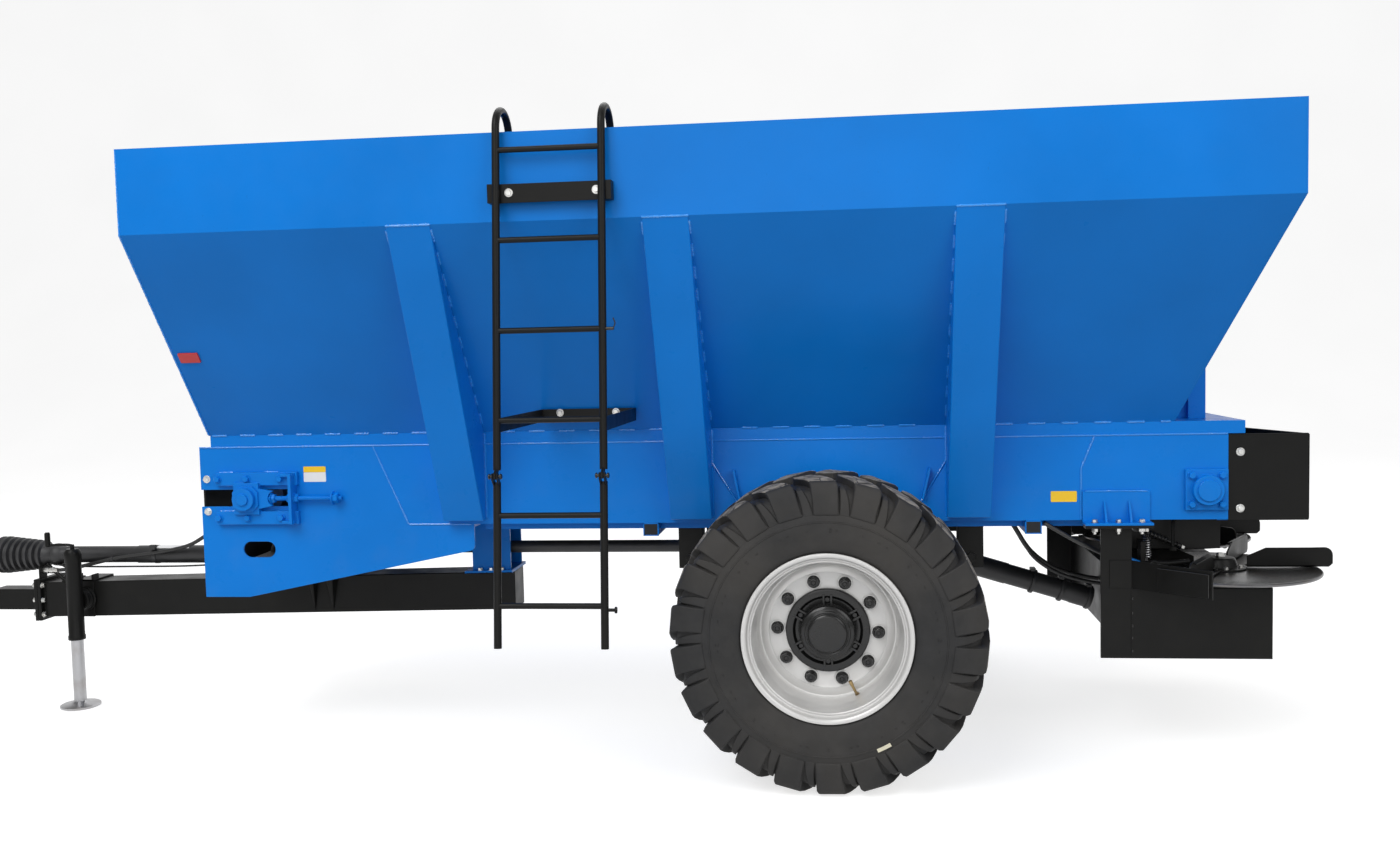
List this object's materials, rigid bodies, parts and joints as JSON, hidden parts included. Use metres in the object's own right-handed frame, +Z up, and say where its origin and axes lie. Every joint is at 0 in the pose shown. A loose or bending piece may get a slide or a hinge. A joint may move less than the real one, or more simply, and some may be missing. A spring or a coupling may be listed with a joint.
{
  "type": "trailed manure spreader",
  "caption": "Single-axle trailed manure spreader with a blue V hopper, belt floor, rear spinner discs, side ladder and a drawbar with parking jack.",
  "frame": {"origin": "bottom centre of the whole machine as parked: on the ground, midway along its length and across its width with the ladder", "axes": "+X rearward along the machine, away from the towing ring; +Y to the machine's right side; +Z up; metres"},
  "size_m": [5.57, 2.4068, 2.2575],
  "materials": {
    "blue_paint": "gloss paint with light dust",
    "black_paint": "satin paint",
    "silver_paint": "silver wheel paint",
    "bare_steel": "bright worn steel",
    "tyre_rubber": "matt black tyre",
    "belt_rubber": "matt black",
    "guard_plastic": "black moulded guard"
  },
  "bodies": {
    "root": {"axle": "black_paint", "chassis_rail_left": "blue_paint", "chassis_rail_right": "blue_paint", "conveyor_belt": "belt_rubber", "conveyor_floor": "bare_steel", "cross_tube_front": "blue_paint", "cross_tube_rear": "blue_paint", "drawbar": "black_paint", "drawbar_pedestal": "blue_paint", "drive_bearing_left": "blue_paint", "drive_bearing_right": "blue_paint", "drive_roller": "bare_steel", "driveline_guard": "guard_plastic", "drop_chute": "black_paint", "front_crossmember": "black_paint", "front_guard": "black_paint", "front_plate_left": "blue_paint", "front_plate_right": "blue_paint", "gate_frame": "blue_paint", "hopper_front_wall": "blue_paint", "hopper_rear_wall": "blue_paint", "hopper_side_left": "blue_paint", "hopper_side_right": "blue_paint", "hose_coupler": "bare_steel", "hydraulic_hose": "belt_rubber", "jack_tube": "black_paint", "ladder_upper": "black_paint", "pto_guard": "guard_plastic", "rear_deflector": "black_paint", "rib_left_1": "blue_paint", "rib_left_2": "blue_paint", "rib_left_3": "blue_paint", "rib_right_1": "blue_paint", "rib_right_2": "blue_paint", "rib_right_3": "blue_paint", "sill_left": "blue_paint", "sill_right": "blue_paint", "spinner_bracket_left": "blue_paint", "spinner_bracket_right": "blue_paint", "spinner_housing": "black_paint", "spinner_leg_left": "black_paint", "spinner_leg_right": "black_paint", "suspension_left": "black_paint", "suspension_right": "black_paint", "tail_roller": "bare_steel", "take_up_left": "blue_paint", "take_up_right": "blue_paint", "towing_ring": "black_paint"},
    "wheel_left": {"rim_left": "silver_paint", "tyre_left": "tyre_rubber"},
    "wheel_right": {"rim_right": "silver_paint", "tyre_right": "tyre_rubber"},
    "disc_left": {"spinner_disc_left": "bare_steel"},
    "disc_right": {"spinner_disc_right": "bare_steel"},
    "input_shaft": {"pto_shaft": "bare_steel"},
    "gate": {"rear_gate": "blue_paint"},
    "ladder_step": {"ladder_lower": "black_paint"},
    "jack_foot": {"jack_leg": "bare_steel"}
  },
  "joints": [
    {"name": "wheel_left_spin", "type": "hinge", "parent": "root", "child": "wheel_left", "pos_m": [1, -0.78657, 0.52], "axis": [0, 1, 0], "continuous": true},
    {"name": "wheel_right_spin", "type": "hinge", "parent": "root", "child": "wheel_right", "pos_m": [1, 0.99343, 0.52], "axis": [0, 1, 0], "continuous": true},
    {"name": "disc_left_spin", "type": "hinge", "parent": "root", "child": "disc_left", "pos_m": [2.4, -0.29657, 0.625], "axis": [0, 0, 1], "continuous": true},
    {"name": "disc_right_spin", "type": "hinge", "parent": "root", "child": "disc_right", "pos_m": [2.4, 0.50343, 0.625], "axis": [0, 0, 1], "continuous": true},
    {"name": "input_shaft_spin", "type": "hinge", "parent": "root", "child": "input_shaft", "pos_m": [-2.5, 0.10343, 0.63], "axis": [1, 0, 0], "continuous": true},
    {"name": "gate_slide", "type": "slide", "parent": "root", "child": "gate", "axis": [0, 0, 1], "range_m": [0, 0.13]},
    {"name": "ladder_fold", "type": "hinge", "parent": "root", "child": "ladder_step", "pos_m": [-0.0225, -1.15806, 1.078], "axis": [-1, 0, 0], "range_deg": [0, 178]},
    {"name": "jack_slide", "type": "slide", "parent": "root", "child": "jack_foot", "axis": [0, 0, 1], "range_m": [0, 0.26]}
  ],
  "couplings": [
    {"joint": "disc_right_spin", "follows": "disc_left_spin", "ratio": -1},
    {"joint": "input_shaft_spin", "follows": "disc_left_spin", "ratio": 0.65}
  ]
}
